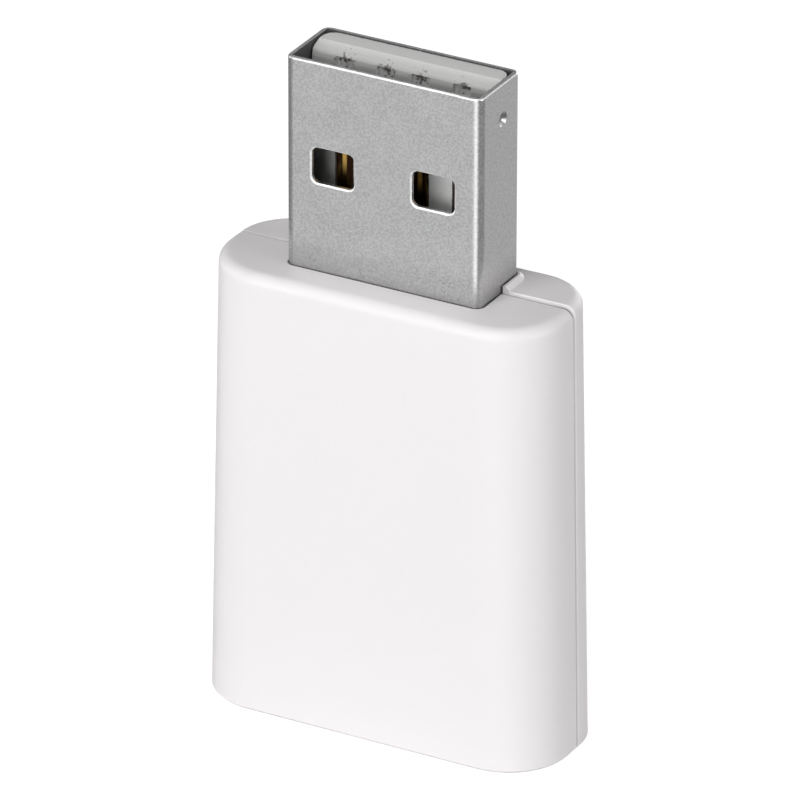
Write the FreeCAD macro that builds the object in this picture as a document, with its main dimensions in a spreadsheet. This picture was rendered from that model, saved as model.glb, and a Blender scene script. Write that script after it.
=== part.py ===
import FreeCAD, Part
import math
import os
import Sketcher
from FreeCAD import Vector

# A signal repeater: a small two-shell plastic housing with a flat metal plug on its head.
# Millimetres. Z runs up through the plug. Y runs from the front face to the back.
# The origin is the middle of the footprint, on the surface that the housing stands on.

os.makedirs("parts", exist_ok=True)
doc = FreeCAD.newDocument("SignalRepeater")

# Driving sizes
SIZES = {
    # Housing form
    "housing_height": 26.6,
    "housing_width_foot": 21.86,
    "housing_depth_foot": 8.5,
    "side_draft": 0.48,
    "face_draft": 0.21,
    "side_flat_front": 0.92,
    "side_flat_rear": 0.16,
    "foot_bevel": 0.15,
    "head_rounding": 0.65,
    "housing_wall": 1.2,
    # Joint between the two shells
    "parting_place": 0.58,
    "parting_gap": 0.03,
    "parting_bevel": 0.12,
    "cover_rise": 0.15,
    "lip_height": 0.7,
    "lip_wall": 0.55,
    "lip_clearance": 0.05,
    "rib_root": 0.3,
    # Plug shell
    "plug_place": 0.4,
    "plug_width": 12.0,
    "plug_thickness": 4.5,
    "plug_sheet": 0.3,
    "plug_bend": 0.5,
    "plug_reach": 12.35,
    "plug_hidden_length": 5.15,
    "plug_rim_rounding": 0.1,
    "plug_seam": 0.08,
    "plug_clearance": 0.07,
    "collar_width": 0.36,
    "collar_height": 0.25,
    "collar_bevel": 0.23,
    "window_width": 2.62,
    "window_height": 2.1,
    "window_corner": 0.4,
    "window_bevel": 0.09,
    "window_spacing": 6.15,
    "window_below_tip": 5.03,
    "dimple_diameter": 0.85,
    "dimple_depth": 0.16,
    "dimple_floor_diameter": 0.34,
    "dimple_below_tip": 2.06,
    "dimple_place": 0.21,
    "shell_leg_width": 1.4,
    "shell_leg_length": 1.9,
    "saddle_thickness": 1.0,
    "saddle_below_head": 2.4,
    # Plug insulator and contacts
    "tongue_side_gap": 0.1,
    "tongue_thickness": 1.92,
    "tongue_free_length": 11.0,
    "tongue_below_tip": 0.08,
    "tongue_corner": 0.75,
    "nose_depth": 0.85,
    "nose_height": 0.9,
    "nose_knee_depth": 0.12,
    "nose_knee_height": 0.27,
    "nose_rounding": 0.4,
    "insulator_clearance": 0.03,
    "slot_below_tip": 0.55,
    "contact_width": 1.0,
    "contact_sheet": 0.2,
    "contact_recess": 0.05,
    "contact_side_clearance": 0.06,
    "contact_tip_bevel": 0.1,
    "contact_tip_slope": 0.2,
    "inner_contact_spacing": 2.1,
    "outer_contact_spacing": 7.2,
    "outer_contact_below_tip": 1.3,
    "inner_contact_below_tip": 2.3,
    "contact_tail_length": 2.2,
    # Circuit board and its seats
    "board_thickness": 1.0,
    "board_side_margin": 0.8,
    "board_foot_margin": 0.5,
    "board_to_plug": 0.25,
    "board_corner": 1.0,
    "board_play": 0.05,
    "notch_clearance": 0.1,
    "post_diameter": 2.2,
    "post_from_board_edge": 1.5,
    "post_from_board_foot": 2.2,
    "post_from_board_head": 3.6,
    "pin_diameter": 1.0,
    "pin_hole_clearance": 0.08,
    "pin_bore_clearance": 0.03,
    "pin_grip": 1.2,
    # Small parts on the board, placed from its head edge or its foot edge
    "capacitor_length": 2.0,
    "capacitor_width": 1.25,
    "capacitor_height": 1.0,
    "small_chip_length": 1.0,
    "small_chip_width": 0.5,
    "small_chip_height": 0.45,
    "small_terminal_length": 0.24,
    "terminal_length": 0.3,
    "terminal_skin": 0.03,
    "leaded_body_length": 2.9,
    "leaded_body_width": 1.6,
    "leaded_body_height": 0.95,
    "leaded_body_lift": 0.1,
    "lead_pitch": 0.95,
    "lead_width": 0.4,
    "lead_sheet": 0.15,
    "lead_reach": 0.6,
    "lead_foot": 0.35,
    "power_row": 4.2,
    "power_column": 3.3,
    "power_row_step": 2.4,
    "data_resistor_row": 6.0,
    "radio_chip_size": 5.0,
    "radio_chip_height": 0.85,
    "radio_chip_left": 1.2,
    "radio_row_start": 8.1,
    "amplifier_size": 2.5,
    "amplifier_height": 0.75,
    "crystal_length": 2.5,
    "crystal_width": 2.0,
    "crystal_height": 0.6,
    "crystal_corner": 0.2,
    "chip_gap": 0.8,
    "small_chip_gap": 0.3,
    "can_sheet": 0.2,
    "can_fold": 0.18,
    "can_height": 1.6,
    "can_side_gap": 0.45,
    "can_hole_diameter": 0.7,
    "can_hole_pitch": 1.6,
    "antenna_length": 5.2,
    "antenna_width": 1.6,
    "antenna_height": 1.1,
    "antenna_terminal": 0.5,
    "antenna_from_foot": 0.5,
    "matching_from_foot": 3.0,
    "matching_spacing": 1.8,
    "chip_mark_diameter": 0.4,
    "chip_mark_inset": 0.8,
    "chip_mark_depth": 0.05,
    "chip_edge_bevel": 0.1,
}

sheet = doc.addObject("Spreadsheet::Sheet", "Sizes")
for row, (alias, size) in enumerate(SIZES.items(), start=1):
    sheet.set(f"A{row}", alias)
    sheet.set(f"B{row}", str(size))
    sheet.setAlias(f"B{row}", alias)
doc.recompute()

# Places that several pieces share, as expressions on the sheet
HEAD = "Sizes.housing_height"
COVER_HEAD_RIGHT = "(Sizes.housing_height + Sizes.cover_rise)"
COLLAR_TOP = f"({COVER_HEAD_RIGHT} + Sizes.collar_height)"
PARTING_FRONT = "(Sizes.parting_place - Sizes.parting_gap / 2)"
PARTING_REAR = "(Sizes.parting_place + Sizes.parting_gap / 2)"
FOOT_HALF = "(Sizes.housing_width_foot / 2)"
HEAD_HALF = "(Sizes.housing_width_foot / 2 - Sizes.side_draft)"
CAVITY_FOOT_HALF = f"({FOOT_HALF} - Sizes.housing_wall)"
CAVITY_HEAD_HALF = f"({HEAD_HALF} - Sizes.housing_wall)"
CAVITY_TOP = "(Sizes.housing_height - Sizes.housing_wall)"
FOOT_DEPTH_HALF = "(Sizes.housing_depth_foot / 2)"
HEAD_DEPTH_HALF = "(Sizes.housing_depth_foot / 2 - Sizes.face_draft)"
CORNER_FRONT = f"({HEAD_DEPTH_HALF} + Sizes.parting_place - Sizes.side_flat_front)"
CORNER_REAR = f"({HEAD_DEPTH_HALF} - Sizes.parting_place - Sizes.side_flat_rear)"
RIB_REACH = f"({FOOT_DEPTH_HALF} - Sizes.housing_wall + Sizes.rib_root)"

PLUG_HALF = "(Sizes.plug_width / 2)"
PLUG_FRONT = "(Sizes.plug_place - Sizes.plug_thickness / 2)"
PLUG_BACK = "(Sizes.plug_place + Sizes.plug_thickness / 2)"
PLUG_TIP = "(Sizes.housing_height + Sizes.plug_reach)"
PLUG_END = "(Sizes.housing_height - Sizes.plug_hidden_length)"
PLUG_LENGTH = "(Sizes.plug_reach + Sizes.plug_hidden_length)"
PLUG_INNER_HALF = "(Sizes.plug_width / 2 - Sizes.plug_sheet)"
PLUG_INNER_FRONT = f"({PLUG_FRONT} + Sizes.plug_sheet)"
PLUG_INNER_BACK = f"({PLUG_BACK} - Sizes.plug_sheet)"
PLUG_INNER_BEND = "(Sizes.plug_bend - Sizes.plug_sheet)"

TONGUE_TIP = f"({PLUG_TIP} - Sizes.tongue_below_tip)"
TONGUE_BACK = f"({PLUG_INNER_BACK} - Sizes.insulator_clearance)"
TONGUE_FACE = f"({TONGUE_BACK} - Sizes.tongue_thickness)"
TONGUE_ROOT = f"({PLUG_TIP} - Sizes.tongue_free_length)"
CONTACT_FACE = f"({TONGUE_FACE} + Sizes.contact_recess)"
CONTACT_BACK = f"({CONTACT_FACE} + Sizes.contact_sheet)"

BOARD_FRONT = CONTACT_BACK
BOARD_BACK = f"({BOARD_FRONT} + Sizes.board_thickness)"
BOARD_MIDDLE = f"({BOARD_FRONT} + Sizes.board_thickness / 2)"
BOARD_HEAD = f"({PLUG_END} - Sizes.board_to_plug)"
BOARD_FOOT = "(Sizes.housing_wall + Sizes.board_foot_margin)"
BOARD_HALF = f"({CAVITY_HEAD_HALF} - Sizes.board_side_margin)"
LEG_INNER = PLUG_INNER_HALF
LEG_OUTER = PLUG_HALF
LEG_END = f"({PLUG_END} - Sizes.shell_leg_length)"

POST_PLACES = [
    (f"({side} * ({BOARD_HALF} - Sizes.post_from_board_edge))", height)
    for side in (-1, 1)
    for height in (
        f"({BOARD_FOOT} + Sizes.post_from_board_foot)",
        f"({BOARD_HEAD} - Sizes.post_from_board_head)",
    )
]

TOUCH = 1e-4
# How a sketch numbers the points of a line, an arc or a circle, and its own axes
START = 1
END = 2
CENTRE = 3
AXES = -1


def value(expression):
    """The number that an expression on the sheet gives."""
    return float(sheet.evalExpression(expression))


# Sketches
def new_body(name, place=None):
    """An empty body whose label is the name of the piece."""
    body = doc.addObject("PartDesign::Body", name)
    body.Label = name
    if place:
        for axis, expression in zip("xyz", place):
            body.setExpression(f"Placement.Base.{axis}", expression)
    return body


def new_sketch(body, name, role, height="0"):
    """A sketch on one of the body's own origin planes, moved along its normal."""
    sketch = body.newObject("Sketcher::SketchObject", name)
    plane = next(item for item in body.Origin.OriginFeatures if item.Role == role)
    sketch.AttachmentSupport = [(plane, "")]
    sketch.MapMode = "FlatFace"
    sketch.setExpression("AttachmentOffset.Base.z", height)
    return sketch


def bind(sketch, kind, where, expression):
    """One dimension of a sketch, tied to the sheet."""
    index = sketch.addConstraint(Sketcher.Constraint(kind, *where, value(expression)))
    sketch.setExpression(f"Constraints[{index}]", expression)


def place_point(sketch, point, across, up):
    """Ties one point of a sketch to its two distances from the origin."""
    bind(sketch, "DistanceX", (AXES, START, *point), across)
    bind(sketch, "DistanceY", (AXES, START, *point), up)


def draw_outline(sketch, corners):
    """A closed outline. Each corner is (across, up, rounding), the rounding may be left out."""
    points = [Vector(value(corner[0]), value(corner[1]), 0) for corner in corners]
    radii = [value(corner[2]) if len(corner) > 2 else 0 for corner in corners]
    count = len(corners)
    entries = []
    exits = []
    for index in range(count):
        before = (points[index - 1] - points[index]).normalize()
        after = (points[(index + 1) % count] - points[index]).normalize()
        half_turn = before.getAngle(after) / 2
        setback = radii[index] / math.tan(half_turn)
        entries.append(points[index] + before * setback)
        exits.append(points[index] + after * setback)
    lines = [
        sketch.addGeometry(Part.LineSegment(exits[index], entries[(index + 1) % count]))
        for index in range(count)
    ]
    for index in range(count):
        line_in = lines[index - 1]
        line_out = lines[index]
        across, up = corners[index][:2]
        if radii[index]:
            middle_way = (entries[index] - points[index]) + (exits[index] - points[index])
            centre_distance = math.hypot(radii[index], entries[index].distanceToPoint(points[index]))
            centre = points[index] + middle_way.normalize() * centre_distance
            crown = centre + (points[index] - centre).normalize() * radii[index]
            arc = Part.Arc(entries[index], crown, exits[index])
            arc_index = sketch.addGeometry(arc)
            first_end = sketch.getPoint(arc_index, START)
            starts_at_entry = first_end.distanceToPoint(entries[index]) < TOUCH
            entry_end, exit_end = (START, END) if starts_at_entry else (END, START)
            sketch.addConstraint(Sketcher.Constraint("Tangent", line_in, END, arc_index, entry_end))
            sketch.addConstraint(Sketcher.Constraint("Tangent", arc_index, exit_end, line_out, START))
            corner_point = sketch.addGeometry(Part.Point(points[index]), True)
            for line in (line_in, line_out):
                sketch.addConstraint(
                    Sketcher.Constraint("PointOnObject", corner_point, START, line))
            place_point(sketch, (corner_point, START), across, up)
            bind(sketch, "Radius", (arc_index,), corners[index][2])
        else:
            sketch.addConstraint(
                Sketcher.Constraint("Coincident", line_in, END, line_out, START))
            place_point(sketch, (line_out, START), across, up)


def draw_rectangle(sketch, left, right, low, high, rounding=None):
    """A rectangle, with all four corners rounded where a rounding is given."""
    extra = (rounding,) if rounding else ()
    corners = [(left, low), (right, low), (right, high), (left, high)]
    draw_outline(sketch, [corner + extra for corner in corners])


def draw_circle(sketch, across, up, diameter):
    """A full circle."""
    centre = Vector(value(across), value(up), 0)
    circle = Part.Circle(centre, Vector(0, 0, 1), value(diameter) / 2)
    index = sketch.addGeometry(circle)
    place_point(sketch, (index, CENTRE), across, up)
    bind(sketch, "Diameter", (index,), diameter)


# Features
def add_feature(body, kind, name):
    """A feature at the end of the body's history."""
    feature = body.newObject(kind, name)
    body.Tip = feature
    return feature


def extrude(body, kind, name, sketch, length, reverse):
    """A pad or a pocket of one sketch. It has to change the body's volume."""
    before = body.Shape.Volume if body.Shape.Solids else 0
    feature = add_feature(body, kind, name)
    feature.Profile = sketch
    feature.setExpression("Length", length)
    feature.Reversed = reverse
    doc.recompute()
    if abs(body.Shape.Volume - before) < TOUCH:
        raise RuntimeError(f"{body.Label}: {name} changes nothing")
    return feature


def pad(body, name, sketch, length, reverse=False):
    return extrude(body, "PartDesign::Pad", name, sketch, length, reverse)


def pocket(body, name, sketch, length, reverse=False):
    return extrude(body, "PartDesign::Pocket", name, sketch, length, reverse)


def dress(body, kind, name, size_name, size, keep):
    """A fillet or chamfer on every edge of the body that the test keeps."""
    base = body.Tip
    edges = base.Shape.Edges
    names = [f"Edge{index}" for index, edge in enumerate(edges, start=1) if keep(edge)]
    if not names:
        raise RuntimeError(f"{body.Label}: {name} finds no edge")
    feature = add_feature(body, kind, name)
    feature.Base = (base, names)
    feature.setExpression(size_name, size)
    doc.recompute()
    return feature


def fillet(body, name, size, keep):
    return dress(body, "PartDesign::Fillet", name, "Radius", size, keep)


def chamfer(body, name, size, keep):
    return dress(body, "PartDesign::Chamfer", name, "Size", size, keep)


def at_height(edge, height):
    """Whether an edge lies in one level plane."""
    return abs(edge.BoundBox.ZMin - height) < TOUCH and abs(edge.BoundBox.ZMax - height) < TOUCH


def on_head(edge, heads):
    """Whether an edge lies in the head plane, which may slope from the left to the right."""
    left, right = (value(head) for head in heads)
    share = (edge.CenterOfMass.x / value(HEAD_HALF) + 1) / 2
    height = left + (right - left) * share
    lies_flat = edge.BoundBox.ZLength < abs(right - left) + TOUCH
    return lies_flat and abs(edge.CenterOfMass.z - height) < TOUCH


def at_depth(edge, depth):
    """Whether an edge lies in one plane parallel to the front face."""
    return abs(edge.BoundBox.YMin - depth) < TOUCH and abs(edge.BoundBox.YMax - depth) < TOUCH


# Housing shells
def shell_hollow(body, parting, side):
    """The space inside a shell. It leans in with the walls and has rounded corners."""
    hollow = new_body(f"{body.Label}_hollow")
    foot_depth = f"({FOOT_DEPTH_HALF} - Sizes.housing_wall)"
    head_depth = f"({HEAD_DEPTH_HALF} - Sizes.housing_wall)"
    face = new_sketch(hollow, "FaceProfile", "XZ_Plane", f"-{parting}")
    draw_hollow_frame(face, "0")
    pad(hollow, "Block", face, f"({foot_depth} - {side} * {parting})", reverse=side > 0)
    draft = new_sketch(hollow, "DraftProfile", "YZ_Plane", f"-{CAVITY_FOOT_HALF}")
    draw_outline(draft, [
        (f"({side} * {foot_depth})", "Sizes.housing_wall"),
        (f"({side} * {head_depth})", CAVITY_TOP),
        (f"({side} * {foot_depth})", CAVITY_TOP),
    ])
    pocket(hollow, "Draft", draft, f"(2 * {CAVITY_FOOT_HALF})", reverse=True)
    upright = value(HEAD) / 2
    parting_depth = value(parting)
    rounding = CORNER_FRONT if side < 0 else CORNER_REAR
    fillet(hollow, "Corners", f"({rounding} - Sizes.housing_wall)",
           lambda edge: edge.BoundBox.ZLength > upright and not at_depth(edge, parting_depth))
    return hollow


def shell_form(body, parting, side, heads):
    """The outer form of a shell and its hollow. The side is -1 for the front and 1 for the rear.
    The heads are the heights of its head plane at the left and at the right."""
    face = new_sketch(body, "FaceProfile", "XZ_Plane", FOOT_DEPTH_HALF)
    draw_outline(face, [
        (f"-{FOOT_HALF}", "0"),
        (FOOT_HALF, "0"),
        (HEAD_HALF, heads[1]),
        (f"-{HEAD_HALF}", heads[0]),
    ])
    pad(body, "Block", face, "Sizes.housing_depth_foot", reverse=True)
    draft = new_sketch(body, "DraftProfile", "YZ_Plane", f"-{FOOT_HALF}")
    for way in (-1, 1):
        draw_outline(draft, [
            (f"({way} * {FOOT_DEPTH_HALF})", "0"),
            (f"({way} * {HEAD_DEPTH_HALF})", COVER_HEAD_RIGHT),
            (f"({way} * {FOOT_DEPTH_HALF})", COVER_HEAD_RIGHT),
        ])
    pocket(body, "Draft", draft, "Sizes.housing_width_foot", reverse=True)
    upright = value(HEAD) / 2
    for way, name, rounding in ((-1, "FrontCorners", CORNER_FRONT),
                                (1, "RearCorners", CORNER_REAR)):
        fillet(body, name, rounding,
               lambda edge: edge.BoundBox.ZLength > upright and way * edge.CenterOfMass.y > 0)
    chamfer(body, "FootBevel", "Sizes.foot_bevel", lambda edge: at_height(edge, 0))
    fillet(body, "HeadRounding", "Sizes.head_rounding", lambda edge: on_head(edge, heads))
    other_half = new_sketch(body, "OtherHalf", "XZ_Plane", f"-{parting}")
    draw_rectangle(other_half, f"-{FOOT_HALF}", FOOT_HALF, "0", COVER_HEAD_RIGHT)
    pocket(body, "PartingFace", other_half, "Sizes.housing_depth_foot", reverse=side > 0)
    hollow = shell_hollow(body, parting, side)
    cut = add_feature(body, "PartDesign::Boolean", "Hollow")
    cut.Type = "Cut"
    cut.setObjects([hollow])
    doc.recompute()


def draw_hollow_frame(sketch, growth):
    """The hollow's outline in the parting plane, grown evenly on all four sides."""
    foot_half = f"({CAVITY_FOOT_HALF} + {growth})"
    head_half = f"({CAVITY_HEAD_HALF} + {growth})"
    foot = f"(Sizes.housing_wall - {growth})"
    head = f"({CAVITY_TOP} + {growth})"
    draw_outline(sketch, [
        (f"-{foot_half}", foot),
        (foot_half, foot),
        (head_half, head),
        (f"-{head_half}", head),
    ])


def plug_opening(body):
    """The hole that the plug stands in, as deep as the plug's hidden end."""
    sketch = new_sketch(body, "PlugOpeningPlan", "XY_Plane", COLLAR_TOP)
    clearance = "Sizes.plug_clearance"
    draw_rectangle(
        sketch,
        f"(-{PLUG_HALF} - {clearance})", f"({PLUG_HALF} + {clearance})",
        f"({PLUG_FRONT} - {clearance})", f"({PLUG_BACK} + {clearance})",
        f"(Sizes.plug_bend + {clearance})")
    pocket(body, "PlugOpening", sketch, f"({COLLAR_TOP} - {PLUG_END} + {clearance})")


def plug_saddle(body, parting, side, rounding, plug_face):
    """A rib across the hollow that holds the plug shell."""
    reach = f"({HEAD_DEPTH_HALF} - Sizes.housing_wall + Sizes.rib_root)"
    half_width = f"({CAVITY_HEAD_HALF} + Sizes.rib_root)"
    root_rounding = f"({rounding} - Sizes.housing_wall + Sizes.rib_root)"
    notch_half = f"({PLUG_HALF} + Sizes.plug_clearance)"
    notch_floor = f"({plug_face} + {side} * Sizes.plug_clearance)"
    outer = f"({side} * {reach})"
    sketch = new_sketch(body, "SaddlePlan", "XY_Plane", f"({HEAD} - Sizes.saddle_below_head)")
    draw_outline(sketch, [
        (f"-{half_width}", parting),
        (f"-{half_width}", outer, root_rounding),
        (half_width, outer, root_rounding),
        (half_width, parting),
        (notch_half, parting),
        (notch_half, notch_floor),
        (f"-{notch_half}", notch_floor),
        (f"-{notch_half}", parting),
    ])
    pad(body, "Saddle", sketch, "Sizes.saddle_thickness", reverse=True)


def side_bevel(body, parting):
    """A bevel on the outer edge of the parting face, on both sides of the housing."""
    outside = value(HEAD_HALF) - value("Sizes.foot_bevel")
    chamfer(body, "PartingBevel", "Sizes.parting_bevel",
            lambda edge: at_depth(edge, value(parting))
            and min(abs(edge.BoundBox.XMin), abs(edge.BoundBox.XMax)) > outside
            and edge.BoundBox.ZLength > value(HEAD) / 2)


def front_housing():
    """The front shell, with the lip that locates the cover and the posts behind the board."""
    body = new_body("front_housing")
    shell_form(body, PARTING_FRONT, -1, (HEAD, HEAD))
    side_bevel(body, PARTING_FRONT)
    plug_saddle(body, PARTING_FRONT, -1, CORNER_FRONT, PLUG_FRONT)
    lip = new_sketch(body, "LipFrame", "XZ_Plane", f"-{PARTING_FRONT}")
    draw_hollow_frame(lip, "Sizes.lip_wall")
    draw_hollow_frame(lip, "0")
    pad(body, "Lip", lip, "Sizes.lip_height", reverse=True)
    plug_opening(body)
    post_top = f"({BOARD_FRONT} - Sizes.board_play)"
    posts = new_sketch(body, "PostPlan", "XZ_Plane", f"-{post_top}")
    for across, up in POST_PLACES:
        draw_circle(posts, across, up, "Sizes.post_diameter")
        draw_circle(posts, across, up, "(Sizes.pin_diameter + 2 * Sizes.pin_bore_clearance)")
    pad(body, "Posts", posts, f"({post_top} + {RIB_REACH})")
    return body


def rear_cover():
    """The rear shell, with a collar behind the plug and the bosses and pins for the board."""
    body = new_body("rear_cover")
    shell_form(body, PARTING_REAR, 1, (HEAD, COVER_HEAD_RIGHT))
    side_bevel(body, PARTING_REAR)
    plug_saddle(body, PARTING_REAR, 1, CORNER_REAR, PLUG_BACK)
    rebate = new_sketch(body, "RebateFrame", "XZ_Plane", f"-{PARTING_REAR}")
    draw_hollow_frame(rebate, "(Sizes.lip_wall + Sizes.lip_clearance)")
    pocket(body, "Rebate", rebate,
           "(Sizes.lip_height + Sizes.lip_clearance - Sizes.parting_gap)")
    collar_root = f"({CAVITY_TOP} + Sizes.lip_wall + Sizes.lip_clearance)"
    collar = new_sketch(body, "CollarPlan", "XY_Plane", collar_root)
    reach = "(Sizes.plug_clearance + Sizes.collar_width)"
    collar_rounding = f"(Sizes.plug_bend + {reach})"
    draw_outline(collar, [
        (f"(-{PLUG_HALF} - {reach})", PARTING_REAR),
        (f"({PLUG_HALF} + {reach})", PARTING_REAR),
        (f"({PLUG_HALF} + {reach})", f"({PLUG_BACK} + {reach})", collar_rounding),
        (f"(-{PLUG_HALF} - {reach})", f"({PLUG_BACK} + {reach})", collar_rounding),
    ])
    pad(body, "Collar", collar, f"({COLLAR_TOP} - {collar_root})")
    chamfer(body, "CollarBevel", "Sizes.collar_bevel",
            lambda edge: at_height(edge, value(COLLAR_TOP))
            and not at_depth(edge, value(PARTING_REAR)))
    plug_opening(body)
    boss_top = f"({BOARD_BACK} + Sizes.board_play)"
    bosses = new_sketch(body, "BossPlan", "XZ_Plane", f"-{boss_top}")
    for across, up in POST_PLACES:
        draw_circle(bosses, across, up, "Sizes.post_diameter")
    pad(body, "Bosses", bosses, f"({RIB_REACH} - {boss_top})", reverse=True)
    pins = new_sketch(body, "PinPlan", "XZ_Plane", f"-{boss_top}")
    for across, up in POST_PLACES:
        draw_circle(pins, across, up, "Sizes.pin_diameter")
    pad(body, "Pins", pins, "(Sizes.board_thickness + 2 * Sizes.board_play + Sizes.pin_grip)")
    return body


# Plug
def plug_shell():
    """The folded sheet of the plug: a flat tube with windows, side dimples, a seam and two legs."""
    body = new_body("plug_shell")
    outside = new_sketch(body, "OutsidePlan", "XY_Plane", PLUG_END)
    draw_rectangle(outside, f"-{PLUG_HALF}", PLUG_HALF, PLUG_FRONT, PLUG_BACK, "Sizes.plug_bend")
    pad(body, "Tube", outside, PLUG_LENGTH)
    inside = new_sketch(body, "InsidePlan", "XY_Plane", PLUG_END)
    draw_rectangle(inside, f"-{PLUG_INNER_HALF}", PLUG_INNER_HALF,
                   PLUG_INNER_FRONT, PLUG_INNER_BACK, PLUG_INNER_BEND)
    pocket(body, "Bore", inside, PLUG_LENGTH, reverse=True)
    inner_limit = value(PLUG_INNER_HALF) + TOUCH
    inner_depth = value("Sizes.plug_thickness") / 2 - value("Sizes.plug_sheet") + TOUCH
    plug_middle = value("Sizes.plug_place")
    fillet(body, "RimRounding", "Sizes.plug_rim_rounding",
           lambda edge: at_height(edge, value(PLUG_TIP))
           and (abs(edge.CenterOfMass.x) > inner_limit
                or abs(edge.CenterOfMass.y - plug_middle) > inner_depth))
    windows = new_sketch(body, "WindowPlan", "XZ_Plane", f"-{PLUG_FRONT}")
    window_top = f"({PLUG_TIP} - Sizes.window_below_tip)"
    for side in (-1, 1):
        middle = f"({side} * Sizes.window_spacing / 2)"
        draw_rectangle(
            windows,
            f"({middle} - Sizes.window_width / 2)", f"({middle} + Sizes.window_width / 2)",
            f"({window_top} - Sizes.window_height)", window_top, "Sizes.window_corner")
    pocket(body, "Windows", windows, "Sizes.plug_thickness")
    window_limit = value("(Sizes.window_spacing + Sizes.window_width) / 2") + TOUCH
    window_floor = value(f"{window_top} - Sizes.window_height") - TOUCH
    for face, name in ((PLUG_FRONT, "FrontWindowBevel"), (PLUG_BACK, "RearWindowBevel")):
        chamfer(body, name, "Sizes.window_bevel",
                lambda edge: at_depth(edge, value(face))
                and abs(edge.CenterOfMass.x) < window_limit
                and window_floor < edge.CenterOfMass.z < value(window_top) + TOUCH)
    seam = new_sketch(body, "SeamPlan", "XY_Plane", PLUG_END)
    draw_rectangle(seam, "(-Sizes.plug_seam / 2)", "(Sizes.plug_seam / 2)",
                   f"({PLUG_INNER_BACK} - Sizes.insulator_clearance)", PLUG_BACK)
    pocket(body, "Seam", seam, PLUG_LENGTH, reverse=True)
    dimple_radius = "(Sizes.dimple_diameter / 2)"
    for side, name in ((1, "RightDimple"), (-1, "LeftDimple")):
        profile = new_sketch(body, name + "Profile", "XY_Plane",
                             f"({PLUG_TIP} - Sizes.dimple_below_tip)")
        profile.setExpression("AttachmentOffset.Base.y", "(Sizes.plug_place + Sizes.dimple_place)")
        draw_outline(profile, [
            (f"({side} * {PLUG_HALF})", "0"),
            (f"({side} * {PLUG_HALF})", dimple_radius),
            (f"({side} * ({PLUG_HALF} - Sizes.dimple_depth))", "(Sizes.dimple_floor_diameter / 2)"),
            (f"({side} * ({PLUG_HALF} - Sizes.dimple_depth))", "0"),
        ])
        before = body.Shape.Volume
        dimple = add_feature(body, "PartDesign::Groove", name)
        dimple.Profile = profile
        dimple.ReferenceAxis = (profile, ["H_Axis"])
        dimple.Angle = 360
        doc.recompute()
        if body.Shape.Volume > before - TOUCH:
            raise RuntimeError(f"{name} cuts nothing")
    legs = new_sketch(body, "LegPlan", "XY_Plane", PLUG_END)
    leg_front = f"({BOARD_MIDDLE} - Sizes.shell_leg_width / 2)"
    leg_back = f"({BOARD_MIDDLE} + Sizes.shell_leg_width / 2)"
    draw_rectangle(legs, LEG_INNER, LEG_OUTER, leg_front, leg_back)
    draw_rectangle(legs, f"-{LEG_OUTER}", f"-{LEG_INNER}", leg_front, leg_back)
    pad(body, "Legs", legs, "Sizes.shell_leg_length", reverse=True)
    return body


CONTACTS = {
    "contact_power": ("(-Sizes.outer_contact_spacing / 2)", "Sizes.outer_contact_below_tip"),
    "contact_data_minus": ("(-Sizes.inner_contact_spacing / 2)", "Sizes.inner_contact_below_tip"),
    "contact_data_plus": ("(Sizes.inner_contact_spacing / 2)", "Sizes.inner_contact_below_tip"),
    "contact_ground": ("(Sizes.outer_contact_spacing / 2)", "Sizes.outer_contact_below_tip"),
}


def plug_insulator():
    """The moulded block in the plug: a base that fills the tube and a tongue with four slots."""
    body = new_body("plug_insulator")
    base = new_sketch(body, "BasePlan", "XY_Plane", PLUG_END)
    play = "Sizes.insulator_clearance"
    draw_rectangle(base, f"(-{PLUG_INNER_HALF} + {play})", f"({PLUG_INNER_HALF} - {play})",
                   f"({PLUG_INNER_FRONT} + {play})", f"({PLUG_INNER_BACK} - {play})",
                   PLUG_INNER_BEND)
    pad(body, "Base", base, f"({TONGUE_ROOT} - {PLUG_END})")
    tongue = new_sketch(body, "TonguePlan", "XY_Plane", TONGUE_ROOT)
    tongue_half = f"({PLUG_INNER_HALF} - Sizes.tongue_side_gap)"
    draw_outline(tongue, [
        (f"-{tongue_half}", TONGUE_FACE),
        (tongue_half, TONGUE_FACE),
        (tongue_half, TONGUE_BACK, "Sizes.tongue_corner"),
        (f"-{tongue_half}", TONGUE_BACK, "Sizes.tongue_corner"),
    ])
    pad(body, "Tongue", tongue, f"({TONGUE_TIP} - {TONGUE_ROOT})")
    nose = new_sketch(body, "NoseProfile", "YZ_Plane", f"-{PLUG_HALF}")
    draw_outline(nose, [
        (TONGUE_FACE, TONGUE_TIP),
        (TONGUE_FACE, f"({TONGUE_TIP} - Sizes.nose_height)"),
        (f"({TONGUE_FACE} + Sizes.nose_knee_depth)", f"({TONGUE_TIP} - Sizes.nose_knee_height)",
         "Sizes.nose_rounding"),
        (f"({TONGUE_FACE} + Sizes.nose_depth)", TONGUE_TIP),
    ])
    pocket(body, "Nose", nose, "Sizes.plug_width", reverse=True)
    slots = new_sketch(body, "SlotPlan", "XY_Plane", PLUG_END)
    for middle, _ in CONTACTS.values():
        half_slot = "(Sizes.contact_width / 2 + Sizes.contact_side_clearance)"
        draw_rectangle(slots, f"({middle} - {half_slot})", f"({middle} + {half_slot})",
                       f"({TONGUE_FACE} - Sizes.contact_recess)", CONTACT_BACK)
    pocket(body, "Slots", slots, f"({PLUG_LENGTH} - Sizes.slot_below_tip)", reverse=True)
    return body


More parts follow.
